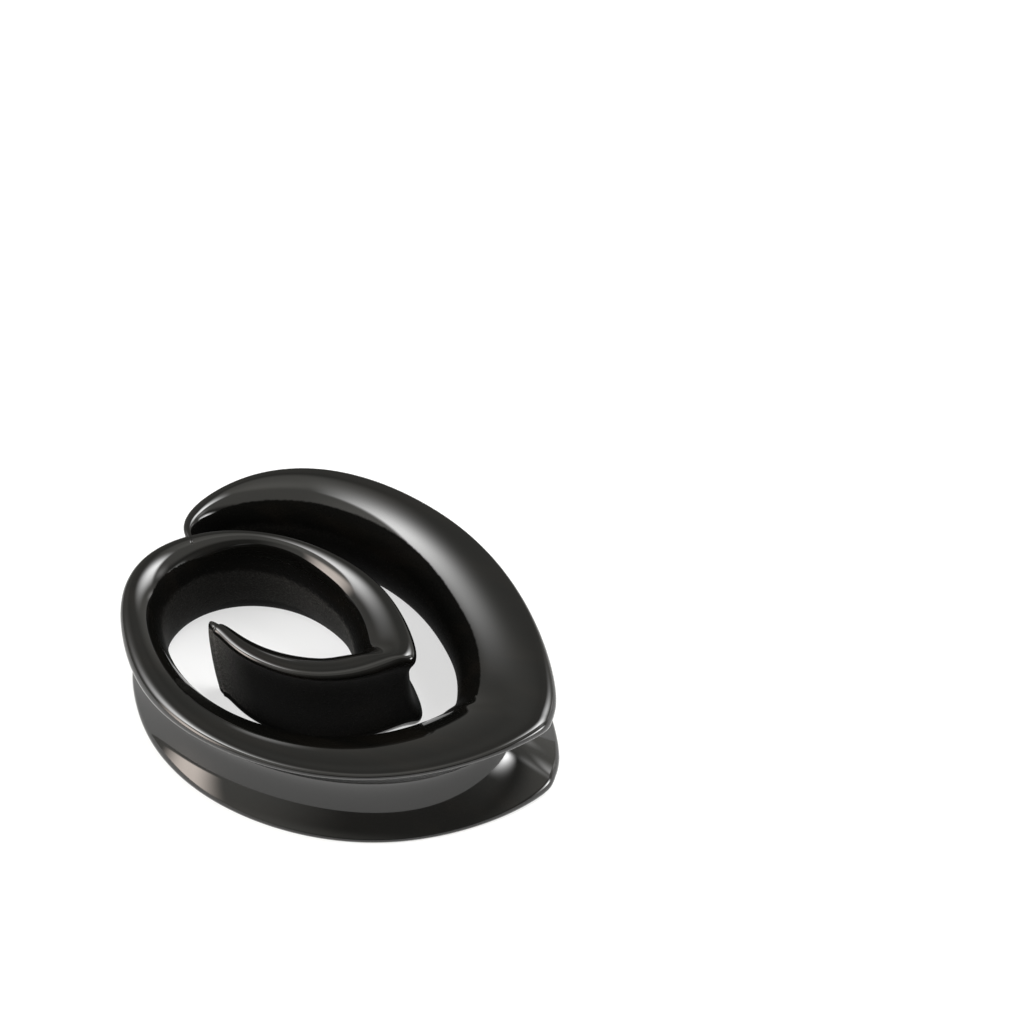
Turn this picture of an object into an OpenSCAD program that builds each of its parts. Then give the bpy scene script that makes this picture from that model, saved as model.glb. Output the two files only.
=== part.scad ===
// Spiral ear weight, carved from one piece: a drop-shaped disc with a spiral slot cut right through.
// Millimetres, +Z up. The weight lies flat on its rims at z = 0, outer point towards +X,
// origin in the middle of the footprint.

/* [Overall size] */
// Length from the round end to the outer point
body_length = 44; // [30:0.5:70]
// Width across the drop
body_width = 33.2; // [22:0.2:55]
// Thickness from rim to rim
body_height = 12.5; // [8:0.25:20]

/* [Band section] */
// Depth of the ear groove at the outer point
groove_depth = 5.07; // [1:0.01:6]
// Widest rounding of the rim edge
rim_round = 1.2; // [0.5:0.05:1.6]
// Flat land beside the rim where its share is 1, on which the weight rests
rim_land = 0.5; // [0.3:0.05:1.2]
// Fullness of the slot wall, 2 is an ellipse
wall_full = 2.3; // [2:0.1:4]
// How far the upright edge of a claw tip stands out between the rims
tip_swell = 0.5; // [0:0.05:1]
// How far the corners of a claw tip are rounded down, as a share of half the thickness
tip_drop = 0.1; // [0:0.01:0.3]
// Scale of the band width
band_scale = 1; // [0.8:0.02:1.1]

/* [Fineness] */
// Stations between two rows of the table
row_steps = 4; // [2:1:8]
// Points on half of the groove
groove_steps = 5; // [3:1:16]
// Points round each rim edge
edge_steps = 4; // [2:1:8]
// Points on half of the face and wall
face_steps = 7; // [4:1:24]
// Stations round each claw tip
tip_steps = 3; // [2:1:8]

/* [Colour] */
// Dark horn, red share
horn_red = 0.10; // [0:0.01:1]
// Dark horn, green share
horn_green = 0.09; // [0:0.01:1]
// Dark horn, blue share
horn_blue = 0.085; // [0:0.01:1]

/* [Hidden] */
table_length = 44;
table_width = 33.2;
scale_x = body_length / table_length;
scale_y = body_width / table_width;
scale_band = band_scale * sqrt(scale_x * scale_y);
tip_turn = 85;
tip_stretch = 1.45;
swell_rows = 2.5;

// Columns of the section table
RIM_X = 0;
RIM_Y = 1;
AIM = 2;
BAND = 3;
GROOVE = 4;
FLAT = 5;
LAND = 6;
FACE = 7;
ROUND = 8;

// One row for each guide section along the spiral, from the outer claw tip to the inner one.
// RIM_X, RIM_Y: guide point of the rim edge. AIM: direction from the rim to the slot wall, degrees.
// BAND: width of the band at half height. GROOVE: depth as a share of groove_depth.
// FLAT: power of the groove floor, 2 is a round groove and 6 a nearly straight wall with lips.
// LAND: width of the land as a share of rim_land. FACE: power of the polished face, 2 is an ellipse
// and less is a flatter slope. ROUND: rounding of the rim edge as a share of rim_round.
sections = [
    // RIM_X, RIM_Y,   AIM,  BAND, GROOVE, FLAT, LAND, FACE, ROUND
    // outer claw tip
    [-18.41,   3.20,   24.4,  0.83, 0.04, 2.00, 1.00, 1.85, 0.29],
    [-19.82,   4.25,   12.2,  1.66, 0.13, 2.00, 1.00, 1.85, 0.29],
    [-20.14,   6.69,  -14.0,  2.41, 0.22, 2.00, 0.70, 1.85, 0.36],
    // outer arm
    [-18.45,  10.28,  -32.1,  3.77, 0.29, 2.00, 0.34, 1.76, 0.34],
    [-15.46,  13.51,  -52.3,  4.88, 0.41, 2.00, 0.45, 1.73, 0.28],
    [-11.04,  15.89,  -65.9,  5.62, 0.49, 2.00, 0.69, 1.79, 0.32],
    [ -5.63,  16.83,  -83.6,  6.08, 0.55, 2.00, 0.79, 1.75, 0.36],
    [  0.11,  16.33,  -96.6,  6.30, 0.59, 2.00, 0.54, 1.79, 0.28],
    [  5.75,  14.83, -109.6,  6.73, 0.63, 2.00, 0.39, 2.05, 0.25],
    [ 10.93,  12.17, -124.8,  7.27, 0.67, 2.00, 0.43, 2.13, 0.23],
    [ 15.48,   8.64, -141.7,  7.77, 0.72, 1.60, 0.62, 1.98, 0.34],
    // coming to the outer point
    [ 19.09,   4.78, -153.4,  8.89, 0.81, 1.32, 0.86, 1.62, 0.59],
    [ 21.77,   0.72, -168.0, 10.14, 0.92, 1.30, 1.09, 1.50, 0.83],
    // outer point
    [ 22.00,  -1.59, -175.3, 11.20, 1.00, 1.44, 1.20, 1.50, 0.92],
    [ 22.11,  -2.69, -178.1, 11.33, 0.95, 1.64, 1.20, 1.50, 0.71],
    // lower arm
    [ 19.49,  -6.61, -190.8, 10.22, 0.76, 1.64, 1.16, 1.50, 0.42],
    [ 15.10, -10.79, -204.6,  9.06, 0.63, 1.74, 1.06, 1.50, 0.33],
    [  9.70, -14.16, -221.1,  7.95, 0.60, 1.97, 0.91, 1.50, 0.33],
    [  3.33, -16.25, -242.2,  6.86, 0.58, 2.11, 0.72, 1.54, 0.37],
    [ -3.55, -16.85, -266.4,  6.00, 0.55, 2.10, 0.49, 1.56, 0.43],
    [-10.26, -15.95, -287.0,  5.47, 0.50, 1.98, 0.31, 1.67, 0.73],
    [-15.97, -13.19, -305.6,  4.89, 0.45, 1.87, 0.19, 1.84, 0.99],
    // left round end
    [-19.91,  -8.84, -325.9,  4.03, 0.36, 1.89, 0.10, 2.03, 0.88],
    [-22.25,  -4.28, -349.7,  3.95, 0.29, 2.23, 0.05, 2.19, 0.57],
    [-21.95,   0.02, -376.1,  4.13, 0.26, 2.85, 0.05, 2.11, 0.33],
    [-19.38,   3.65, -396.4,  3.12, 0.24, 3.60, 0.05, 2.17, 0.40],
    // inner loop, upper arm
    [-15.15,   6.27, -410.6,  2.17, 0.17, 4.20, 0.05, 2.12, 0.33],
    [-10.07,   7.54, -432.9,  1.98, 0.14, 5.00, 0.05, 2.03, 0.26],
    [ -4.74,   7.47, -459.0,  3.08, 0.13, 6.00, 0.05, 1.77, 0.21],
    [  0.38,   6.28, -486.6,  4.04, 0.13, 6.00, 0.34, 1.61, 0.31],
    [  4.47,   3.59, -498.9,  5.24, 0.14, 5.00, 0.73, 1.50, 0.49],
    // coming to the inner point
    [  7.41,   0.40, -532.3,  6.41, 0.19, 3.40, 1.06, 1.50, 0.75],
    // inner point
    [  7.38,  -0.86, -534.7,  7.63, 0.19, 3.00, 1.20, 1.57, 1.00],
    [  6.35,  -1.06, -529.0,  8.07, 0.16, 3.40, 1.17, 1.78, 1.00],
    [  3.65,  -4.20, -546.7,  6.60, 0.11, 5.00, 0.96, 1.83, 0.76],
    // inner loop, lower arm
    [ -0.71,  -6.53, -578.4,  5.12, 0.09, 6.00, 0.64, 1.81, 0.50],
    [ -4.97,  -6.99, -607.4,  3.82, 0.09, 6.00, 0.36, 1.86, 0.46],
    [ -8.74,  -6.50, -628.5,  3.10, 0.09, 6.00, 0.30, 1.91, 0.54],
    [-11.44,  -5.12, -638.0,  2.15, 0.08, 6.00, 0.30, 1.94, 0.54],
    [-11.65,  -5.23, -640.0,  1.75, 0.07, 5.00, 0.30, 1.94, 0.42],
    // inner claw tip
    [-11.76,  -4.94, -642.0,  1.30, 0.05, 4.00, 0.30, 1.94, 0.28]
];

last_row = len(sections) - 1;

// Row i of the table, carried on in a straight line past both ends
function row(i) =
    i < 0 ? 2 * sections[0] - sections[1]
    : i > last_row ? 2 * sections[last_row] - sections[last_row - 1]
    : sections[i];

// Cubic blend of four neighbouring rows at position t along the table
function blend(t) =
    let (i = min(floor(t), last_row - 1), u = t - i)
    (pow(1 - u, 3) * row(i - 1)
    + (3 * pow(u, 3) - 6 * pow(u, 2) + 4) * row(i)
    + (-3 * pow(u, 3) + 3 * pow(u, 2) + 3 * u + 1) * row(i + 1)
    + pow(u, 3) * row(i + 2)) / 6;

function sgn_pow(v, p) = sign(v) * pow(abs(v), p);

// Groove from the bottom rim to the top rim, as [in from the rim, height from the middle]
function groove_points(depth, power, edge, slope) =
    let (w_end = edge * (1 - cos(slope)), z_end = body_height / 2 - edge * (1 + sin(slope)))
    [for (k = [-groove_steps : groove_steps])
        let (s = sin(90 * k / groove_steps))
        [depth - (depth - w_end) * pow(abs(s), power), z_end * s]];

// Rounded edge of the top rim, from the groove to the land
function edge_points(edge, slope) =
    [for (k = [1 : edge_steps])
        let (a = 180 + slope - (90 + slope) * k / edge_steps)
        [edge + edge * cos(a), body_height / 2 - edge + edge * sin(a)]];

// Polished face and slot wall, from the top land to the bottom one
function face_points(start, band, full) =
    [for (k = [0 : 2 * face_steps])
        let (a = 90 - 90 * k / face_steps)
        [start + (band - start) * pow(max(cos(a), 0), 2 / full),
         body_height / 2 * sgn_pow(sin(a), 2 / wall_full)]];

function mirrored(points) =
    [for (k = [len(points) - 1 : -1 : 0]) [points[k][0], -points[k][1]]];

// Whole section as a closed loop
function section_points(r) =
    let (band = r[BAND] * scale_band,
         depth = r[GROOVE] * groove_depth,
         edge = min(r[ROUND] * rim_round, 0.3 * band),
         land = min(r[LAND] * rim_land, 0.15 * band),
         slope = atan(r[FLAT] * depth / (body_height / 2 - edge)),
         top_edge = edge_points(edge, slope))
    concat(groove_points(depth, r[FLAT], edge, slope),
        top_edge,
        face_points(edge + land, band, r[FACE]),
        mirrored(top_edge));

// How far a claw tip's upright edge stands out at position t, 0 away from the tips
function swell(t) =
    let (u = min(min(t, last_row - t) / swell_rows, 1))
    tip_swell * (1 - u * u * (3 - 2 * u));

// Section at position t in place; turn narrows it about its middle, moves it out past a claw tip
// and rounds its corners down
function placed(t, turn = 0) =
    let (r = blend(t), middle = r[BAND] * scale_band / 2, way = t < last_row / 2 ? -1 : 1)
    [for (p = section_points(r))
        let (w = middle + (p[0] - middle) * cos(turn),
             level = 2 * p[1] / body_height,
             on = way * (tip_stretch * middle * sin(turn) + swell(t) * (1 - pow(abs(level), 3))))
        [r[RIM_X] * scale_x + w * cos(r[AIM]) - on * sin(r[AIM]),
         r[RIM_Y] * scale_y + w * sin(r[AIM]) + on * cos(r[AIM]),
         body_height / 2 + p[1] * (1 - tip_drop * (1 - cos(turn)))]];

// Closed skin over the stations
module band_skin() {
    stations = concat(
        [for (k = [tip_steps : -1 : 1]) placed(0, tip_turn * k / tip_steps)],
        [for (k = [0 : last_row * row_steps]) placed(k / row_steps)],
        [for (k = [1 : tip_steps]) placed(last_row, tip_turn * k / tip_steps)]);
    m = len(stations[0]);
    n = len(stations);
    skin = [for (i = [0 : n - 2], j = [0 : m - 1], half = [0, 1])
        let (a = i * m + j, b = i * m + (j + 1) % m, c = a + m, d = b + m)
        half == 0 ? [a, b, d] : [a, d, c]];
    caps = [[for (j = [m - 1 : -1 : 0]) j], [for (j = [0 : m - 1]) (n - 1) * m + j]];
    polyhedron(points = [for (s = stations) each s], faces = concat(skin, caps), convexity = 8);
}

module ear_weight() {
    color([horn_red, horn_green, horn_blue]) band_skin();
}

ear_weight();
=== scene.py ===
"""Spiral ear weight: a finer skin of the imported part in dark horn, on a pale, softly lit floor."""

import math

import bpy
from bpy.props import FloatProperty, FloatVectorProperty, IntProperty, PointerProperty
from mathutils import Euler, Matrix, Vector


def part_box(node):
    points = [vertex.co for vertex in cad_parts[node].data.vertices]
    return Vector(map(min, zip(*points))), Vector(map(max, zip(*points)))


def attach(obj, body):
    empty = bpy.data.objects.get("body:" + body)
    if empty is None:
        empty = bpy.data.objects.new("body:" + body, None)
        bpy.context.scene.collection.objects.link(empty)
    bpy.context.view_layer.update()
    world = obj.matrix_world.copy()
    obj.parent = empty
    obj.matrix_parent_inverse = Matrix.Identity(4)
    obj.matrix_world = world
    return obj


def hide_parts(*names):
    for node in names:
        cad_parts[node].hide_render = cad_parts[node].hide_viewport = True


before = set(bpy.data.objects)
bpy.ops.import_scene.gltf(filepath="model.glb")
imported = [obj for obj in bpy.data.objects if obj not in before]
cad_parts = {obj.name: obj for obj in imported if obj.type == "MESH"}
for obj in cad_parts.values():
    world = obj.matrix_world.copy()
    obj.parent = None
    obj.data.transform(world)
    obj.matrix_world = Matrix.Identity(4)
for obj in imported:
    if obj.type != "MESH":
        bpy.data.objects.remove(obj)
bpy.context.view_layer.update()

bl_info = {
    "name": "Spiral Ear Weight",
    "version": (1, 0, 0),
    "blender": (4, 5, 0),
    "location": "View3D > Sidebar > Ear Weight",
    "description": "Sweeps a saddle section along a spiral, finishes it as horn and lights it",
    "category": "Object",
}

NODE = "ear_weight"
MM = 0.001
NODE_LOW, NODE_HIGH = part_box(NODE)

# Guide sections along the spiral, from the outer claw tip to the inner one, in millimetres and
# degrees. Columns: RIM_X, RIM_Y, AIM from the rim to the slot wall, BAND width, GROOVE share of
# the groove depth, FLAT power of the groove floor, LAND share of the rim land, FACE power of the
# polished face, POLISH reach down the slot wall, MATT share of the saw marks on the wall below
# it, ROUND share of the rim rounding.
SECTIONS = (
    # outer claw tip
    (-18.41, 3.20, 24.4, 0.83, 0.04, 2.00, 1.00, 1.85, 0.60, 0.20, 0.29),
    (-19.82, 4.25, 12.2, 1.66, 0.13, 2.00, 1.00, 1.85, 0.60, 0.20, 0.29),
    (-20.14, 6.69, -14.0, 2.41, 0.22, 2.00, 0.70, 1.85, 0.60, 0.20, 0.36),
    # outer arm
    (-18.45, 10.28, -32.1, 3.77, 0.29, 2.00, 0.34, 1.76, 0.80, 0.20, 0.34),
    (-15.46, 13.51, -52.3, 4.88, 0.41, 2.00, 0.45, 1.73, 1.05, 0.15, 0.28),
    (-11.04, 15.89, -65.9, 5.62, 0.49, 2.00, 0.69, 1.79, 1.10, 0.15, 0.32),
    (-5.63, 16.83, -83.6, 6.08, 0.55, 2.00, 0.79, 1.75, 1.15, 0.07, 0.36),
    (0.11, 16.33, -96.6, 6.30, 0.59, 2.00, 0.54, 1.79, 1.15, 0.07, 0.28),
    (5.75, 14.83, -109.6, 6.73, 0.63, 2.00, 0.39, 2.05, 1.30, 0.07, 0.25),
    (10.93, 12.17, -124.8, 7.27, 0.67, 2.00, 0.43, 2.13, 1.50, 0.10, 0.23),
    (15.48, 8.64, -141.7, 7.77, 0.72, 1.60, 0.62, 1.98, 1.50, 0.10, 0.34),
    # coming to the outer point
    (19.09, 4.78, -153.4, 8.89, 0.81, 1.32, 0.86, 1.62, 1.80, 0.15, 0.59),
    (21.77, 0.72, -168.0, 10.14, 0.92, 1.30, 1.09, 1.50, 2.00, 0.15, 0.83),
    # outer point
    (22.00, -1.59, -175.3, 11.20, 1.00, 1.44, 1.20, 1.50, 2.40, 0.20, 0.92),
    (22.11, -2.69, -178.1, 11.33, 0.95, 1.64, 1.20, 1.50, 2.60, 0.20, 0.71),
    # lower arm
    (19.49, -6.61, -190.8, 10.22, 0.76, 1.64, 1.16, 1.50, 3.60, 0.50, 0.42),
    (15.10, -10.79, -204.6, 9.06, 0.63, 1.74, 1.06, 1.50, 4.20, 0.60, 0.33),
    (9.70, -14.16, -221.1, 7.95, 0.60, 1.97, 0.91, 1.50, 4.20, 0.60, 0.33),
    (3.33, -16.25, -242.2, 6.86, 0.58, 2.11, 0.72, 1.54, 4.00, 0.60, 0.37),
    (-3.55, -16.85, -266.4, 6.00, 0.55, 2.10, 0.49, 1.56, 3.60, 0.60, 0.43),
    (-10.26, -15.95, -287.0, 5.47, 0.50, 1.98, 0.31, 1.67, 3.20, 0.60, 0.73),
    (-15.97, -13.19, -305.6, 4.89, 0.45, 1.87, 0.19, 1.84, 2.60, 0.60, 0.99),
    # left round end
    (-19.91, -8.84, -325.9, 4.03, 0.36, 1.89, 0.10, 2.03, 1.60, 0.50, 0.88),
    (-22.25, -4.28, -349.7, 3.95, 0.29, 2.23, 0.05, 2.19, 0.95, 0.40, 0.57),
    (-21.95, 0.02, -376.1, 4.13, 0.26, 2.85, 0.05, 2.11, 0.95, 0.35, 0.33),
    (-19.38, 3.65, -396.4, 3.12, 0.24, 3.60, 0.05, 2.17, 1.10, 0.35, 0.40),
    # inner loop, upper arm
    (-15.15, 6.27, -410.6, 2.17, 0.17, 4.20, 0.05, 2.12, 2.00, 0.50, 0.33),
    (-10.07, 7.54, -432.9, 1.98, 0.14, 5.00, 0.05, 2.03, 2.20, 0.75, 0.26),
    (-4.74, 7.47, -459.0, 3.08, 0.13, 6.00, 0.05, 1.77, 1.90, 0.90, 0.21),
    (0.38, 6.28, -486.6, 4.04, 0.13, 6.00, 0.34, 1.61, 1.90, 1.00, 0.31),
    (4.47, 3.59, -498.9, 5.24, 0.14, 5.00, 0.73, 1.50, 2.10, 1.00, 0.49),
    # coming to the inner point
    (7.41, 0.40, -532.3, 6.41, 0.19, 3.40, 1.06, 1.50, 2.00, 1.00, 0.75),
    # inner point
    (7.38, -0.86, -534.7, 7.63, 0.19, 3.00, 1.20, 1.57, 3.20, 1.00, 1.00),
    (6.35, -1.06, -529.0, 8.07, 0.16, 3.40, 1.17, 1.78, 4.00, 0.60, 1.00),
    (3.65, -4.20, -546.7, 6.60, 0.11, 5.00, 0.96, 1.83, 4.80, 0.60, 0.76),
    # inner loop, lower arm
    (-0.71, -6.53, -578.4, 5.12, 0.09, 6.00, 0.64, 1.81, 5.20, 0.60, 0.50),
    (-4.97, -6.99, -607.4, 3.82, 0.09, 6.00, 0.36, 1.86, 5.20, 0.60, 0.46),
    (-8.74, -6.50, -628.5, 3.10, 0.09, 6.00, 0.30, 1.91, 5.00, 0.85, 0.54),
    (-11.44, -5.12, -638.0, 2.15, 0.08, 6.00, 0.30, 1.94, 4.80, 1.00, 0.54),
    (-11.65, -5.23, -640.0, 1.75, 0.07, 5.00, 0.30, 1.94, 4.60, 1.00, 0.42),
    # inner claw tip
    (-11.76, -4.94, -642.0, 1.30, 0.05, 4.00, 0.30, 1.94, 4.50, 1.00, 0.28),
)


# ---------------------------------------------------------------- sums in a node tree

class Wire:
    """A number socket in a node tree that can be added, multiplied and compared like a number."""

    def __init__(self, tree, socket):
        self.tree = tree
        self.socket = socket

    def sum_node(self, operation, *others, clamp=False):
        node = self.tree.nodes.new("ShaderNodeMath")
        node.operation = operation
        node.use_clamp = clamp
        for slot, value in zip(node.inputs, (self, *others)):
            plug(self.tree, value, slot)
        return Wire(self.tree, node.outputs[0])

    def __add__(self, other):
        return self.sum_node("ADD", other)

    def __sub__(self, other):
        return self.sum_node("SUBTRACT", other)

    def __mul__(self, other):
        return self.sum_node("MULTIPLY", other)

    def __truediv__(self, other):
        return self.sum_node("DIVIDE", other)

    def __pow__(self, other):
        return self.sum_node("POWER", other)

    def __rsub__(self, other):
        return (self * -1) + other

    def __rtruediv__(self, other):
        return (self ** -1.0) * other

    __radd__ = __add__
    __rmul__ = __mul__

    def sine(self):
        return self.sum_node("SINE")

    def cosine(self):
        return self.sum_node("COSINE")

    def arctangent(self):
        return self.sum_node("ARCTANGENT")

    def size(self):
        return self.sum_node("ABSOLUTE")

    def floor(self):
        return self.sum_node("FLOOR")

    def rounded(self):
        return self.sum_node("ROUND")

    def least(self, other):
        return self.sum_node("MINIMUM", other)

    def most(self, other):
        return self.sum_node("MAXIMUM", other)

    def below(self, other):
        return self.sum_node("LESS_THAN", other)

    def held(self):
        """The value, kept between 0 and 1."""
        return self.sum_node("ADD", 0.0, clamp=True)

    def mix(self, other, share):
        """This value where the share is 0, the other where it is 1."""
        return self + (other - self) * share


def plug(tree, value, slot):
    """Feeds a wire, a socket or a plain value into an input."""
    if isinstance(value, Wire):
        tree.links.new(value.socket, slot)
    elif isinstance(value, bpy.types.NodeSocket):
        tree.links.new(value, slot)
    else:
        slot.default_value = value


def place_node(tree, kind, settings=None, **inputs):
    """Adds a node, sets its options, and feeds its inputs by name."""
    node = tree.nodes.new(kind)
    for name, value in (settings or {}).items():
        setattr(node, name, value)
    for name, value in inputs.items():
        plug(tree, value, node.inputs[name.replace("_", " ")])
    return node


def split_vector(tree, vector):
    """The three parts of a vector, as wires."""
    node = place_node(tree, "ShaderNodeSeparateXYZ")
    plug(tree, vector, node.inputs[0])
    return [Wire(tree, socket) for socket in node.outputs]


def join_vector(tree, x, y, z):
    """One vector socket from three wires or numbers."""
    node = place_node(tree, "ShaderNodeCombineXYZ")
    for slot, value in zip(node.inputs, (x, y, z)):
        plug(tree, value, slot)
    return node.outputs[0]


def smooth_step(tree, value, low, high):
    """0 below low, 1 above high, smooth between."""
    node = place_node(tree, "ShaderNodeMapRange", {"interpolation_type": "SMOOTHSTEP"})
    plug(tree, value, node.inputs["Value"])
    plug(tree, low, node.inputs["From Min"])
    plug(tree, high, node.inputs["From Max"])
    return Wire(tree, node.outputs["Result"])


def add_sockets(tree, sockets, side="INPUT"):
    """Adds named sockets to a group's outside: (name, socket type, default) each."""
    for name, kind, default in sockets:
        socket = tree.interface.new_socket(name=name, in_out=side, socket_type=kind)
        if default is not None:
            socket.default_value = default


# ---------------------------------------------------------------- the band, swept along its spiral

GUIDE_FIELDS = ("rim", "section", "roll", "finish")
# Widest rounding of a rim and widest land beside it, as shares of the band
EDGE_OF_BAND = 0.3
LAND_OF_BAND = 0.15
# Claw tips: rows past each end, length of the round against half of the band, the share of the way
# from which a ring is closed on one point, and the rows over which the upright edge swells out
CAP_ROWS = 0.8
CAP_STRETCH = 1.45
LAST_RING = 0.999
SWELL_ROWS = 2.5
# Points nearer than this to each other are made one, in metres
WELD_DISTANCE = 2e-7
# How far the polish reaches up from the lower rim, against its reach down from the upper one
UNDER_POLISH = 0.35
# The inner loop's outer wall: the row that its saw marks start from, how many millimetres deeper
# they count with each row and with each millimetre under the rim, and where and how matt they get
SAWN_FROM_ROW = 24.6
SAWN_FADE = 1.1
NECK_RISE = 3.5
NECK_MATT_ROWS = (36.5, 39.3)
NECK_MATT_START, NECK_MATT_GAIN = 0.07, 4.0


def guide_points():
    """The guide rows as loose points, carried on by one row in a straight line past both ends."""
    def beyond(near, next_to):
        return tuple(2 * a - b for a, b in zip(near, next_to))

    rows = [beyond(SECTIONS[0], SECTIONS[1]), *SECTIONS, beyond(SECTIONS[-1], SECTIONS[-2])]
    mesh = bpy.data.meshes.new("spiral_guide")
    mesh.from_pydata([(x * MM, y * MM, 0.0) for x, y, *_ in rows], [], [])
    for name in GUIDE_FIELDS:
        mesh.attributes.new(name, "FLOAT_VECTOR", "POINT")
    for k, row in enumerate(rows):
        x, y, aim, band, groove, flat, land, face, polish, matt, rounding = row
        triples = ((x * MM, y * MM, 0.0), (math.radians(aim), band * MM, groove),
                   (flat, land, face), (polish * MM, matt, rounding))
        for name, triple in zip(GUIDE_FIELDS, triples):
            mesh.attributes[name].data[k].vector = triple
    return bpy.data.objects.new("spiral_guide", mesh)


def blended_row(tree, geometry, along):
    """Cubic blend of the four guide rows round a position, as three wires for each guide field."""
    last = len(SECTIONS) - 1
    first = along.floor().least(last - 1)
    u = along - first
    v = 1 - u
    weights = (
        (v ** 3) / 6,
        ((u ** 3) * 3 - (u ** 2) * 6 + 4) / 6,
        ((u ** 3) * -3 + (u ** 2) * 3 + u * 3 + 1) / 6,
        (u ** 3) / 6,
    )
    blended = []
    for name in GUIDE_FIELDS:
        field = place_node(tree, "GeometryNodeInputNamedAttribute", {"data_type": "FLOAT_VECTOR"},
                           Name=name)
        total = None
        for step, weight in enumerate(weights):
            sample = place_node(tree, "GeometryNodeSampleIndex",
                                {"data_type": "FLOAT_VECTOR", "domain": "POINT"},
                                Geometry=geometry, Value=field.outputs["Attribute"],
                                Index=first + step)
            parts = [part * weight for part in split_vector(tree, sample.outputs[0])]
            total = parts if total is None else [a + b for a, b in zip(total, parts)]
        blended.append(total)
    return blended


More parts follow.
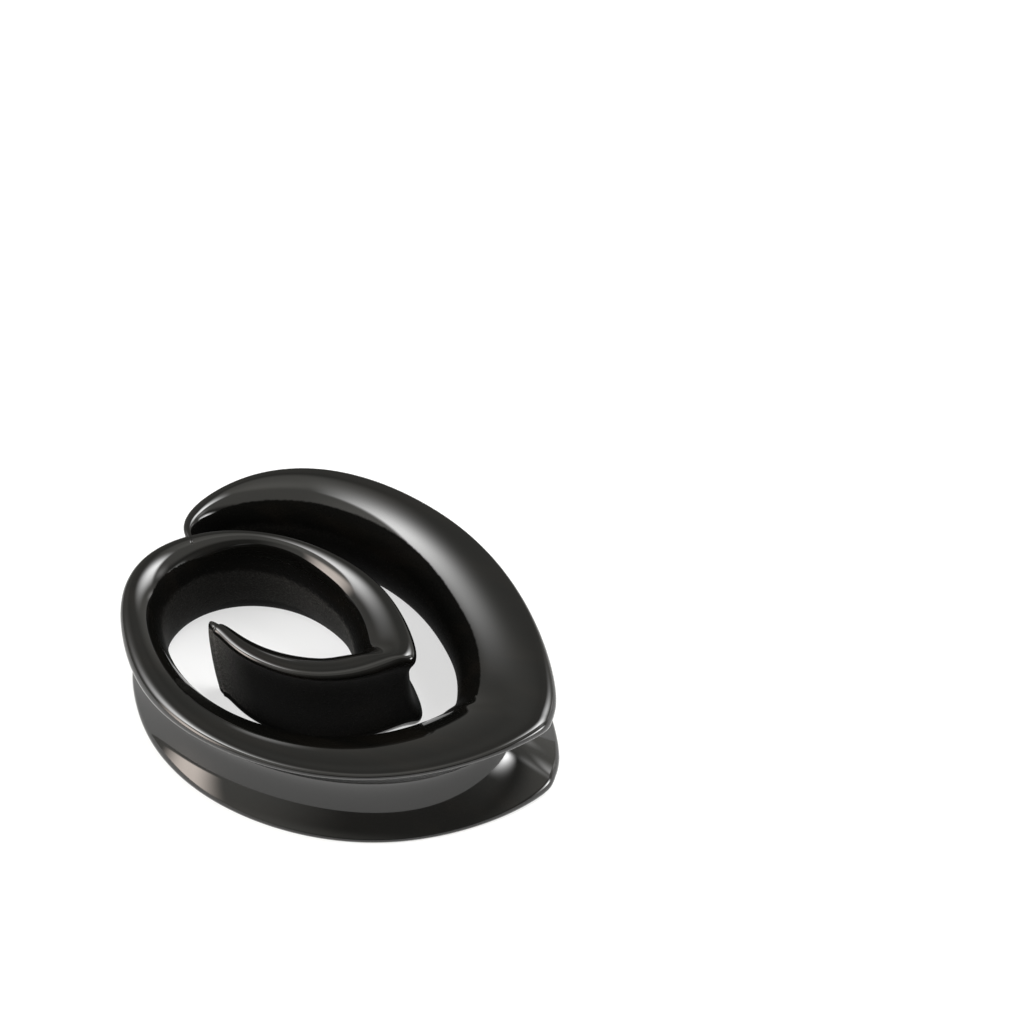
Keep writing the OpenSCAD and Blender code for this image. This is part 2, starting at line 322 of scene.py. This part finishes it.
def build_sweep_tree():
    """Geometry nodes: a saddle section swept along the guide rows, with closed claw tips."""
    tree = bpy.data.node_groups.new("Saddle band along a spiral", "GeometryNodeTree")
    tree.is_modifier = True
    add_sockets(tree, [
        ("Guide", "NodeSocketGeometry", None),
        ("Stations", "NodeSocketInt", 640),
        ("Groove Points", "NodeSocketInt", 20),
        ("Edge Points", "NodeSocketInt", 8),
        ("Face Points", "NodeSocketInt", 36),
        ("Thickness", "NodeSocketFloat", 0.0125),
        ("Groove Depth", "NodeSocketFloat", 0.00507),
        ("Rim Round", "NodeSocketFloat", 0.0012),
        ("Rim Land", "NodeSocketFloat", 0.0005),
        ("Wall Fullness", "NodeSocketFloat", 2.3),
        ("Polish Share", "NodeSocketFloat", 1.0),
        ("Tip Swell", "NodeSocketFloat", 0.0005),
        ("Tip Drop", "NodeSocketFloat", 0.1),
        ("Neck", "NodeSocketFloat", -0.00005),
        ("Horn", "NodeSocketMaterial", None),
    ])
    add_sockets(tree, [("Band", "NodeSocketGeometry", None)], "OUTPUT")
    given = tree.nodes.new("NodeGroupInput").outputs
    size = {socket.name: Wire(tree, socket) for socket in given}
    geometry = given["Guide"]
    last = len(SECTIONS) - 1
    quarter = math.pi / 2

    groove_points, edge_points, face_points = (
        size[name] for name in ("Groove Points", "Edge Points", "Face Points"))
    half_round = groove_points + edge_points + face_points + 1
    round_points = half_round * 2
    grid = place_node(tree, "GeometryNodeMeshGrid", Size_X=1.0, Size_Y=1.0,
                      Vertices_X=size["Stations"], Vertices_Y=round_points + 1)
    place_on_grid = place_node(tree, "GeometryNodeInputPosition").outputs[0]
    across, around, _ = split_vector(tree, place_on_grid)

    # Station: the table's rows, and a short way past both ends for the rounded claw tips
    station = (across + 0.5) * (last + 2 * CAP_ROWS) - CAP_ROWS
    along = station.most(0.0).least(float(last))
    past = ((station - along).size() / CAP_ROWS).held()
    from_end = along.least(last - along)
    rim_fields, section_fields, roll_fields, finish_fields = blended_row(tree, geometry, along)
    rim_x, rim_y, _ = rim_fields
    aim, band, groove = section_fields
    flat, land_share, face_full = roll_fields
    polish, matt, rounding = finish_fields

    # Place round the section: 0 is the groove's middle, half_round the slot wall's middle
    place = ((around + 0.5) * round_points).rounded()
    nearest = place.least(round_points - place)
    side = place.below(half_round + 0.5) * 2 - 1
    half = size["Thickness"] / 2
    depth = groove * size["Groove Depth"]
    edge = (size["Rim Round"] * rounding).least(band * EDGE_OF_BAND)
    land = (size["Rim Land"] * land_share).least(band * LAND_OF_BAND)
    slope = (flat * depth / (half - edge)).arctangent()

    # Each stretch of the section gives w, the way in from the rim line, and z, up from mid height
    groove_in = edge * (1 - slope.cosine())
    groove_top = half - edge * (1 + slope.sine())
    sweep = (nearest / groove_points * quarter).sine()
    groove_w = depth - (depth - groove_in) * (sweep ** flat)
    groove_z = groove_top * sweep

    edge_share = (nearest - groove_points) / edge_points
    edge_turn = math.pi + slope - (slope + quarter) * edge_share
    edge_w = edge + edge * edge_turn.cosine()
    edge_z = half - edge + edge * edge_turn.sine()

    face_share = (nearest - groove_points - edge_points - 1) / face_points
    face_turn = quarter - face_share * quarter
    face_start = edge + land
    face_out = face_turn.cosine().most(0.0) ** (2 / face_full)
    face_w = face_start + (band - face_start) * face_out
    face_z = half * (face_turn.sine().most(0.0) ** (2 / size["Wall Fullness"]))

    on_groove = nearest.below(groove_points + 0.5)
    on_outside = nearest.below(groove_points + edge_points + 0.5)
    w = face_w.mix(edge_w, on_outside).mix(groove_w, on_groove)
    z = face_z.mix(edge_z, on_outside).mix(groove_z, on_groove)

    # Sawn walls: depth in from the line where the polish ends, above 0 where the horn is left matt
    height = side * z
    reach = polish * size["Polish Share"]
    wall_sawn = (half - reach - height).least(half - reach * UNDER_POLISH + height)
    under_rim = half - edge - size["Neck"] - z
    neck_sawn = (under_rim * NECK_RISE).least((along - SAWN_FROM_ROW) * (SAWN_FADE * MM))
    neck_matt = smooth_step(tree, along, *NECK_MATT_ROWS) * NECK_MATT_GAIN + NECK_MATT_START
    sawn = wall_sawn.mix(neck_sawn, on_outside)
    matt = matt.mix(neck_matt, on_outside)

    # Claw tips: the section narrows on a quarter round, its corners round down, its last ring
    # closes on one point, and the upright edge swells out between the rims
    closing = past.below(LAST_RING)
    turn = past * quarter
    narrow = turn.cosine() * closing
    middle = band / 2
    w = middle + (w - middle) * narrow
    z = z * closing
    near_tip = 1 - smooth_step(tree, from_end, 0.0, SWELL_ROWS)
    swell = near_tip * (1 - (z / half) ** 3) * size["Tip Swell"]
    way_out = along.below(last / 2) * -2 + 1
    ahead = way_out * (turn.sine() * middle * CAP_STRETCH + swell)
    z = z * (1 - (1 - turn.cosine()) * size["Tip Drop"])
    heading = aim + quarter
    x = rim_x + w * aim.cosine() + ahead * heading.cosine()
    y = rim_y + w * aim.sine() + ahead * heading.sine()

    # The fields read the flat grid's own places, so they are stored before the grid is shaped
    marked = grid.outputs["Mesh"]
    for name, value in (("sawn", sawn / MM), ("matt", matt)):
        stored = place_node(tree, "GeometryNodeStoreNamedAttribute",
                            {"data_type": "FLOAT", "domain": "POINT"},
                            Geometry=marked, Name=name, Value=value)
        marked = stored.outputs[0]
    shaped = place_node(tree, "GeometryNodeSetPosition", Geometry=marked,
                        Position=join_vector(tree, x, y, half + side * z))
    outward = place_node(tree, "GeometryNodeFlipFaces", Mesh=shaped.outputs[0])
    welded = place_node(tree, "GeometryNodeMergeByDistance", Geometry=outward.outputs[0],
                        Distance=WELD_DISTANCE)
    smooth = place_node(tree, "GeometryNodeSetShadeSmooth", Geometry=welded.outputs[0])
    real = place_node(tree, "GeometryNodeRealizeInstances", Geometry=smooth.outputs[0])
    finished = place_node(tree, "GeometryNodeSetMaterial", Geometry=real.outputs[0],
                          Material=given["Horn"])
    tree.links.new(finished.outputs[0], tree.nodes.new("NodeGroupOutput").inputs[0])
    return tree


def set_modifier_inputs(modifier, values):
    """Sets a geometry modifier's inputs, found by name, by their identifiers."""
    sockets = {socket.name: socket.identifier
               for socket in modifier.node_group.interface.items_tree if socket.in_out == "INPUT"}
    for name, value in values.items():
        modifier[sockets[name]] = value


def mesh_from_guide(guide, values):
    """The evaluated geometry nodes on the guide, as one plain mesh object."""
    bpy.context.scene.collection.objects.link(guide)
    modifier = guide.modifiers.new("sweep", "NODES")
    modifier.node_group = build_sweep_tree()
    set_modifier_inputs(modifier, values)
    depsgraph = bpy.context.evaluated_depsgraph_get()
    mesh = bpy.data.meshes.new_from_object(guide.evaluated_get(depsgraph),
                                           preserve_all_data_layers=True, depsgraph=depsgraph)
    piece = bpy.data.objects.new("horn_band", mesh)
    mesh.name = "horn_band"
    bpy.context.scene.collection.objects.link(piece)
    guide_mesh = guide.data
    bpy.data.objects.remove(guide)
    bpy.data.meshes.remove(guide_mesh)
    return piece


# ---------------------------------------------------------------- the horn

# Sawn speckle: from a pit's middle to its rim, which cells have a pit, which grains are specks, and
# the height of a grain against a pit's depth
PIT_BOWL = (0.05, 0.42)
PITTED_CELLS = (0.45, 0.75)
SPECK_GRAINS = (0.42, 0.68)
GRAIN_HEIGHT = 0.5
# Scratches: noise above this level is a scratch, and how softly it starts
SCRATCH_LEVEL = 0.74
SCRATCH_EDGE = 0.06

# Where the polish ends: noise cells to the metre, and in millimetres how ragged the line is at
# least, what that gains with the matt share, and over what depth the polish is lost
RAGGED_SCALE = 2200.0
RAGGED_START, RAGGED_GAIN = 0.08, 0.5
POLISH_END = (-0.04, 0.10)
# Dust of the saw: how ragged its border is, the depths over which it comes in, which also paint
# bounce light from the floor as a paler wall lower down, and its share between the specks. Pale
# crumbs along the border: the matt shares where they come in, the depths where they fade out, and
# what they add.
DUST_RAGGED = 1.0
PAINTED_BOUNCE_DEPTHS = (1.9, 2.7)
DUST_BETWEEN_SPECKS = 0.35
CRUMB_MATT = (0.85, 1.0)
CRUMB_DEPTHS = (2.5, 3.3)
CRUMB_GAIN = 0.6
# Streaks in the horn: cells to the metre along X, Y and Z, and which noise is a streak
STREAK_SCALES = (60.0, 420.0, 300.0)
STREAK_NOISE = (0.45, 0.75)
# Relief: pits and grains at least, what they gain with the matt share, and the scratches
RELIEF_START, RELIEF_GAIN = 0.3, 0.7
SCRATCH_DEPTH = 0.7


def speckle_group():
    """Shader group: fine pits and grains of a sawn surface, as a height and a mask of specks."""
    tree = bpy.data.node_groups.new("Sawn speckle", "ShaderNodeTree")
    add_sockets(tree, [
        ("Vector", "NodeSocketVector", None),
        ("Pit Size", "NodeSocketFloat", 0.0003),
        ("Grain Size", "NodeSocketFloat", 0.00012),
        ("Pit Depth", "NodeSocketFloat", 1.0),
    ])
    add_sockets(tree, [("Height", "NodeSocketFloat", None), ("Specks", "NodeSocketFloat", None)],
                "OUTPUT")
    given = tree.nodes.new("NodeGroupInput").outputs
    pit_size, grain_size, pit_depth = (
        Wire(tree, given[name]) for name in ("Pit Size", "Grain Size", "Pit Depth"))
    pits = place_node(tree, "ShaderNodeTexVoronoi", {"feature": "F1"}, Vector=given["Vector"],
                      Scale=1 / pit_size, Randomness=1.0)
    bowl = 1 - smooth_step(tree, pits.outputs["Distance"], *PIT_BOWL)
    few = smooth_step(tree, split_vector(tree, pits.outputs["Color"])[0], *PITTED_CELLS)
    noise = place_node(tree, "ShaderNodeTexNoise", Vector=given["Vector"], Scale=1 / grain_size,
                       Detail=3.0, Roughness=0.6)
    grain = Wire(tree, noise.outputs["Fac"])
    height = grain * GRAIN_HEIGHT - bowl * few * pit_depth
    specks = smooth_step(tree, grain, *SPECK_GRAINS) * (1 - bowl * few)
    out = tree.nodes.new("NodeGroupOutput")
    plug(tree, height, out.inputs["Height"])
    plug(tree, specks, out.inputs["Specks"])
    return tree


def scratch_group():
    """Shader group: sparse thin scratches along one direction, as a mask."""
    tree = bpy.data.node_groups.new("Fine scratches", "ShaderNodeTree")
    add_sockets(tree, [
        ("Vector", "NodeSocketVector", None),
        ("Direction", "NodeSocketVector", None),
        ("Length", "NodeSocketFloat", 0.004),
        ("Width", "NodeSocketFloat", 0.00012),
        ("Amount", "NodeSocketFloat", 0.1),
    ])
    add_sockets(tree, [("Mask", "NodeSocketFloat", None)], "OUTPUT")
    given = tree.nodes.new("NodeGroupInput").outputs
    length, width, amount = (Wire(tree, given[name]) for name in ("Length", "Width", "Amount"))
    turned = place_node(tree, "ShaderNodeMapping", {"vector_type": "POINT"},
                        Vector=given["Vector"], Rotation=given["Direction"])
    x, y, z = split_vector(tree, turned.outputs[0])
    noise = place_node(tree, "ShaderNodeTexNoise", Scale=1.0, Detail=1.0,
                       Vector=join_vector(tree, x / length, y / width, z / width))
    edge = SCRATCH_LEVEL - amount
    mask = smooth_step(tree, noise.outputs["Fac"], edge, edge + SCRATCH_EDGE)
    plug(tree, mask, tree.nodes.new("NodeGroupOutput").inputs["Mask"])
    return tree


def group_node(tree, group, **inputs):
    """Places a node group and feeds its inputs by name."""
    node = tree.nodes.new("ShaderNodeGroup")
    node.node_tree = group
    for name, value in inputs.items():
        plug(tree, value, node.inputs[name.replace("_", " ")])
    return node


def horn_material(finish):
    """Near-black horn: mirror-smooth where polished, dull and pitted where the saw left it."""
    material = bpy.data.materials.new("dark_horn")
    material.use_nodes = True
    tree = material.node_tree
    tree.nodes.clear()
    coords = place_node(tree, "ShaderNodeTexCoord").outputs["Object"]

    def mark(name):
        node = place_node(tree, "ShaderNodeAttribute", {"attribute_name": name})
        return Wire(tree, node.outputs["Fac"])

    # The polish ends on a ragged line. The matt share goes past 1 where dust lies thick, and only
    # the dust follows it there.
    noise = place_node(tree, "ShaderNodeTexNoise", Vector=coords, Scale=RAGGED_SCALE, Detail=3.0,
                       Roughness=0.6)
    ragged = Wire(tree, noise.outputs["Fac"]) - 0.5
    matt = mark("matt")
    rough = matt.least(1.0)
    sawn_line = mark("sawn") + ragged * (rough * RAGGED_GAIN + RAGGED_START)
    dull = smooth_step(tree, sawn_line, *POLISH_END)

    speckle = group_node(tree, speckle_group(), Vector=coords, Pit_Size=0.00036,
                         Grain_Size=0.00016, Pit_Depth=1.0)
    height, specks = (Wire(tree, speckle.outputs[name]) for name in ("Height", "Specks"))
    scratches = group_node(tree, scratch_group(), Vector=coords, Direction=(0.35, 0.5, 0.9),
                           Length=0.0035, Width=0.00022, Amount=0.06)
    scratch = Wire(tree, scratches.outputs["Mask"])

    # Horn colour: warm streaks along the length deep in the black, pale dust where it is sawn, and
    # painted bounce light that makes the sawn walls paler lower down
    stretched = [part * scale for part, scale in zip(split_vector(tree, coords), STREAK_SCALES)]
    streaks = place_node(tree, "ShaderNodeTexNoise", Vector=join_vector(tree, *stretched),
                         Scale=1.0, Detail=3.0, Distortion=0.4)
    warm = smooth_step(tree, streaks.outputs["Fac"], *STREAK_NOISE)
    dust_line = sawn_line + ragged * DUST_RAGGED
    border = 1 - smooth_step(tree, dust_line, *CRUMB_DEPTHS)
    crumbs = 1 + smooth_step(tree, rough, *CRUMB_MATT) * border * CRUMB_GAIN
    # The share grows with depth below the polish line: real saw dust, and painted bounce light from
    # the floor that makes the sawn walls paler lower down.
    dust_and_bounce_share = dull * matt * smooth_step(tree, dust_line, *PAINTED_BOUNCE_DEPTHS)
    dust_and_bounce = dust_and_bounce_share * crumbs * (DUST_BETWEEN_SPECKS + specks * (1 - DUST_BETWEEN_SPECKS))
    channels = []
    for black, brown, pale in zip(finish.horn_colour, finish.streak_colour, finish.sawn_colour):
        channels.append((warm * (brown - black) + black).mix(pale, dust_and_bounce))

    relief = height * dull * (rough * RELIEF_GAIN + RELIEF_START) - scratch * dull * SCRATCH_DEPTH
    bump = place_node(tree, "ShaderNodeBump", Strength=0.7, Distance=0.00007, Height=relief)

    # The polish is the coat, which stops where the saw marks start
    shader = place_node(tree, "ShaderNodeBsdfPrincipled", Base_Color=join_vector(tree, *channels),
                        Coat_Weight=1 - dull, Coat_Roughness=0.045, Coat_IOR=1.54,
                        Roughness=0.55, Specular_IOR_Level=0.015)
    tree.links.new(bump.outputs["Normal"], shader.inputs["Normal"])
    out = tree.nodes.new("ShaderNodeOutputMaterial")
    tree.links.new(shader.outputs[0], out.inputs["Surface"])
    return material


class EARWEIGHT_PG_shape(bpy.types.PropertyGroup):
    """Sizes of the band."""

    thickness: FloatProperty(
        name="Thickness", description="From rim to rim", unit="LENGTH",
        default=NODE_HIGH.z - NODE_LOW.z)
    groove_depth: FloatProperty(
        name="Groove Depth", description="Depth of the ear groove at the outer point",
        unit="LENGTH", default=5.07 * MM)
    rim_round: FloatProperty(
        name="Rim Round", description="Rounding of the rim edge where its share is 1",
        unit="LENGTH", default=1.2 * MM)
    rim_land: FloatProperty(
        name="Rim Land", description="Flat land beside the rim where its share is 1",
        unit="LENGTH", default=0.5 * MM)
    wall_fullness: FloatProperty(
        name="Wall Fullness", description="Power of the slot wall, 2 is an ellipse", default=2.3)
    polish_share: FloatProperty(
        name="Polish Share", description="Scale of how far the polish goes down the slot wall",
        default=1.0)
    tip_swell: FloatProperty(
        name="Tip Swell", description="How far a claw tip's upright edge stands out between rims",
        unit="LENGTH", default=0.5 * MM)
    tip_drop: FloatProperty(
        name="Tip Drop", description="Rounding of a claw tip's corners, of half the thickness",
        default=0.1)
    neck: FloatProperty(
        name="Neck", description="How far the polish goes past the edge of the inner loop's rim, "
        "below 0 where it stops short of it", unit="LENGTH", default=-0.05 * MM)
    stations: IntProperty(
        name="Stations", description="Sections along the spiral", default=640)
    groove_points: IntProperty(
        name="Groove Points", description="Points on half of the groove", default=20)
    edge_points: IntProperty(
        name="Edge Points", description="Points round each rim edge", default=8)
    face_points: IntProperty(
        name="Face Points", description="Points on half of the face and wall", default=36)


class EARWEIGHT_PG_finish(bpy.types.PropertyGroup):
    """Colours and finish of the horn."""

    horn_colour: FloatVectorProperty(
        name="Horn Colour", description="Colour of the dark horn", subtype="COLOR",
        default=(0.0013, 0.0013, 0.0011))
    streak_colour: FloatVectorProperty(
        name="Streak Colour", description="Warm streaks deep in the horn", subtype="COLOR",
        default=(0.0026, 0.0022, 0.0017))
    # The sawn colour is also the colour of the painted floor bounce light on the lower sawn walls.
    sawn_colour: FloatVectorProperty(
        name="Sawn Colour", description="Dusty colour of the sawn walls", subtype="COLOR",
        default=(0.033, 0.032, 0.030))


class EARWEIGHT_PG_studio(bpy.types.PropertyGroup):
    """Floor, lights and camera."""

    floor_colour: FloatVectorProperty(
        name="Floor Colour", description="Colour of the floor", subtype="COLOR",
        default=(0.30, 0.30, 0.298))
    floor_glow: FloatProperty(
        name="Floor Glow", description="Light of its own, as on a light table", default=0.62)
    surround: FloatProperty(
        name="Surround", description="Brightness of the room", default=1.0)


class EARWEIGHT_OT_band(bpy.types.Operator):
    """Make the horn band and let it stand for the CAD node"""

    bl_idname = "earweight.band"
    bl_label = "Horn Band"

    def execute(self, context):
        shape = context.scene.earweight_shape
        values = {
            "Stations": shape.stations,
            "Groove Points": shape.groove_points,
            "Edge Points": shape.edge_points,
            "Face Points": shape.face_points,
            "Thickness": shape.thickness,
            "Groove Depth": shape.groove_depth,
            "Rim Round": shape.rim_round,
            "Rim Land": shape.rim_land,
            "Wall Fullness": shape.wall_fullness,
            "Polish Share": shape.polish_share,
            "Tip Swell": shape.tip_swell,
            "Tip Drop": shape.tip_drop,
            "Neck": shape.neck,
            "Horn": horn_material(context.scene.earweight_finish),
        }
        piece = mesh_from_guide(guide_points(), values)
        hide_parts(NODE)
        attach(piece, "root")
        return {"FINISHED"}


# ---------------------------------------------------------------- floor, lights and camera

VIEW_YAW = math.radians(24.0)
CAMERA_AT = Vector((0.117155, -0.193430, 0.362028))
CAMERA_TURN = (34.1518, 2.0605, 24.0)
CAMERA_LENS = 153.47
CAMERA_SENSOR = 36.0
CAMERA_CLIP = 0.01
FLOOR_REACH = 3.0

# Softboxes: name, azimuth from the view's far side towards the right and elevation in degrees,
# width and height in metres, brightness with white as 1, share of the warm tint, how far each
# edge fades in as a share of the side: left, right, bottom, top, and the sideways fade's power
SOFTBOXES = (
    ("key_left", -74.0, 49.2, 0.90, 1.02, 14.6, 0.0, 0.13, 0.85, 0.63, 0.51, 2.81),
    ("key_right", 65.2, 50.0, 0.69, 0.85, 17.7, 0.0, 0.70, 0.23, 0.73, 0.34, 1.21),
    ("edge_right", 104.0, 33.0, 0.36, 0.47, 3.6, 0.0, 0.60, 0.60, 0.60, 0.90, 0.98),
    ("edge_left", -115.5, 18.6, 0.46, 0.43, 9.2, 0.75, 0.40, 0.50, 0.05, 0.43, 0.91),
    ("low_right", 72.4, 7.0, 0.36, 0.26, 1.8, 0.0, 0.50, 0.50, 0.40, 0.50, 1.19),
    ("back_strip", 5.1, 8.8, 0.15, 0.20, 1.3, 0.0, 0.51, 0.46, 0.36, 0.48, 1.12),
    ("near_right", 119.0, 5.0, 0.58, 0.42, 24.0, 0.0, 0.50, 0.50, 0.50, 0.60, 1.30),
)
SOFTBOX_DISTANCE = 0.75
WARM_TINT = (1.0, 0.84, 0.73)

# The room's brightness with white as 1: the least on its far and near side, and what each part
# adds. A pair says from where to where a part comes in, sideways or upwards from -1 to 1, and a
# pair ending in TO where it goes out again.
FAR_LEAST, NEAR_LEAST = 0.36, 0.19
FAR_LEFT, FAR_LEFT_GAIN = (0.0, 0.5), 0.18
FAR_RIGHT, FAR_RIGHT_GAIN = (0.3, 0.8), 0.57
FAR_SHELF_FROM, FAR_SHELF_TO, FAR_SHELF_GAIN = (0.55, 0.75), (0.8, 0.92), 0.10
NEAR_LEFT, NEAR_LEFT_GAIN = (0.2, 0.7), 0.66
NEAR_UPPER, NEAR_UPPER_GAIN = (0.35, 0.6), 0.66
NEAR_RIGHT, NEAR_RIGHT_TO, NEAR_RIGHT_GAIN = (0.3, 0.8), (0.2, 0.4), 0.25
FAR_FROM_NEAR = (-0.35, 0.2)
CEILING, CEILING_GAIN = (0.9, 0.985), 0.68
ROOM_COLOUR = (1.0, 0.985, 0.92, 1.0)


def studio_direction(azimuth, elevation):
    """Direction from the object, with the azimuth counted from the view's far side."""
    a, e = math.radians(azimuth), math.radians(elevation)
    right = Vector((math.cos(VIEW_YAW), math.sin(VIEW_YAW), 0.0))
    away = Vector((-math.sin(VIEW_YAW), math.cos(VIEW_YAW), 0.0))
    level = right * math.sin(a) + away * math.cos(a)
    return level * math.cos(e) + Vector((0, 0, math.sin(e)))


def softbox_glow(tree, left, right, bottom, top, power):
    """Brightness over a light's face, 1 in the middle, falling to 0 over its fading edges."""
    face = place_node(tree, "ShaderNodeNewGeometry").outputs["Parametric"]
    across, up, _ = split_vector(tree, face)
    sideways = smooth_step(tree, 1 - across, 0.0, left) * smooth_step(tree, across, 0.0, right)
    upward = smooth_step(tree, up, 0.0, bottom) * smooth_step(tree, 1 - up, 0.0, top)
    return (sideways ** power) * upward


def softbox(name, azimuth, elevation, width, height, brightness, warmth, *edges):
    """A rectangular light with soft edges, whose middle has the given brightness."""
    light = bpy.data.lights.new(name, "AREA")
    light.shape = "RECTANGLE"
    light.size, light.size_y = width, height
    light.energy = brightness * math.pi * width * height
    light.color = [1 - warmth * (1 - part) for part in WARM_TINT]
    light.use_nodes = True
    tree = light.node_tree
    plug(tree, softbox_glow(tree, *edges), tree.nodes["Emission"].inputs["Strength"])
    lamp = bpy.data.objects.new(name, light)
    lamp.visible_camera = False
    direction = studio_direction(azimuth, elevation)
    lamp.matrix_world = (Matrix.Translation(direction * SOFTBOX_DISTANCE)
                         @ direction.to_track_quat("Z", "Y").to_matrix().to_4x4())
    bpy.context.scene.collection.objects.link(lamp)


def room(studio):
    """The room round the table: dim ahead and behind, brighter at both sides and overhead."""
    world = bpy.data.worlds.new("room")
    world.use_nodes = True
    tree = world.node_tree
    outward = place_node(tree, "ShaderNodeTexCoord").outputs["Generated"]
    x, y, z = split_vector(tree, outward)
    right = x * math.cos(VIEW_YAW) + y * math.sin(VIEW_YAW)
    away = y * math.cos(VIEW_YAW) - x * math.sin(VIEW_YAW)
    left = right * -1
    shelf = smooth_step(tree, z, *FAR_SHELF_FROM) * (1 - smooth_step(tree, z, *FAR_SHELF_TO))
    far_side = (FAR_LEAST + smooth_step(tree, left, *FAR_LEFT) * FAR_LEFT_GAIN
                + smooth_step(tree, right, *FAR_RIGHT) * FAR_RIGHT_GAIN
                + shelf * FAR_SHELF_GAIN)
    low_right = smooth_step(tree, right, *NEAR_RIGHT) * (1 - smooth_step(tree, z, *NEAR_RIGHT_TO))
    near_side = (NEAR_LEAST + smooth_step(tree, left, *NEAR_LEFT) * NEAR_LEFT_GAIN
                 + smooth_step(tree, z, *NEAR_UPPER) * NEAR_UPPER_GAIN
                 + low_right * NEAR_RIGHT_GAIN)
    walls = near_side.mix(far_side, smooth_step(tree, away, *FAR_FROM_NEAR))
    glow = walls + smooth_step(tree, z, *CEILING) * CEILING_GAIN
    background = tree.nodes["Background"]
    background.inputs["Color"].default_value = ROOM_COLOUR
    plug(tree, glow * studio.surround, background.inputs["Strength"])
    return world


def floor_material(studio):
    """Pale matt floor that glows a little, as a light table does."""
    material = bpy.data.materials.new("pale_floor")
    material.use_nodes = True
    shader = material.node_tree.nodes["Principled BSDF"]
    shader.inputs["Base Color"].default_value = (*studio.floor_colour, 1.0)
    shader.inputs["Roughness"].default_value = 0.6
    shader.inputs["Specular IOR Level"].default_value = 0.2
    shader.inputs["Emission Color"].default_value = (1.0, 1.0, 1.0, 1.0)
    shader.inputs["Emission Strength"].default_value = studio.floor_glow
    return material


def lay_floor(studio):
    """A flat square under the object."""
    mesh = bpy.data.meshes.new("floor")
    corners = [(x * FLOOR_REACH, y * FLOOR_REACH, 0.0)
               for x, y in ((-1, -1), (1, -1), (1, 1), (-1, 1))]
    mesh.from_pydata(corners, [], [(0, 1, 2, 3)])
    mesh.materials.append(floor_material(studio))
    floor = bpy.data.objects.new("floor", mesh)
    bpy.context.scene.collection.objects.link(floor)


def set_camera(scene):
    """The camera, above the front of the object and towards its outer point."""
    lens = bpy.data.cameras.new("camera")
    lens.lens = CAMERA_LENS
    lens.sensor_width = CAMERA_SENSOR
    lens.clip_start = CAMERA_CLIP
    camera = bpy.data.objects.new("camera", lens)
    camera.location = CAMERA_AT
    camera.rotation_euler = Euler([math.radians(turn) for turn in CAMERA_TURN])
    scene.collection.objects.link(camera)
    scene.camera = camera


class EARWEIGHT_OT_stage(bpy.types.Operator):
    """Lay the floor, hang the lights and set the camera"""

    bl_idname = "earweight.stage"
    bl_label = "Floor, Lights and Camera"

    def execute(self, context):
        scene = context.scene
        lay_floor(scene.earweight_studio)
        scene.world = room(scene.earweight_studio)
        for box in SOFTBOXES:
            softbox(*box)
        set_camera(scene)
        scene.view_settings.view_transform = "Standard"
        return {"FINISHED"}


class EARWEIGHT_PT_panel(bpy.types.Panel):
    """The ear weight's sizes, finish and stage"""

    bl_idname = "EARWEIGHT_PT_panel"
    bl_label = "Spiral Ear Weight"
    bl_space_type = "VIEW_3D"
    bl_region_type = "UI"
    bl_category = "Ear Weight"

    def draw(self, context):
        layout = self.layout
        for group in ("earweight_shape", "earweight_finish", "earweight_studio"):
            box = layout.box()
            settings = getattr(context.scene, group)
            for name in settings.__annotations__:
                box.prop(settings, name)
        for operator in OPERATORS:
            layout.operator(operator.bl_idname)


GROUPS = (
    ("earweight_shape", EARWEIGHT_PG_shape),
    ("earweight_finish", EARWEIGHT_PG_finish),
    ("earweight_studio", EARWEIGHT_PG_studio),
)
OPERATORS = (EARWEIGHT_OT_band, EARWEIGHT_OT_stage)


def register():
    for name, group in GROUPS:
        bpy.utils.register_class(group)
        setattr(bpy.types.Scene, name, PointerProperty(type=group))
    for cls in (*OPERATORS, EARWEIGHT_PT_panel):
        bpy.utils.register_class(cls)


def unregister():
    for cls in (EARWEIGHT_PT_panel, *reversed(OPERATORS)):
        bpy.utils.unregister_class(cls)
    for name, group in reversed(GROUPS):
        delattr(bpy.types.Scene, name)
        bpy.utils.unregister_class(group)


def main():
    register()
    bpy.ops.earweight.band()
    bpy.ops.earweight.stage()


if __name__ == "__main__":
    main()
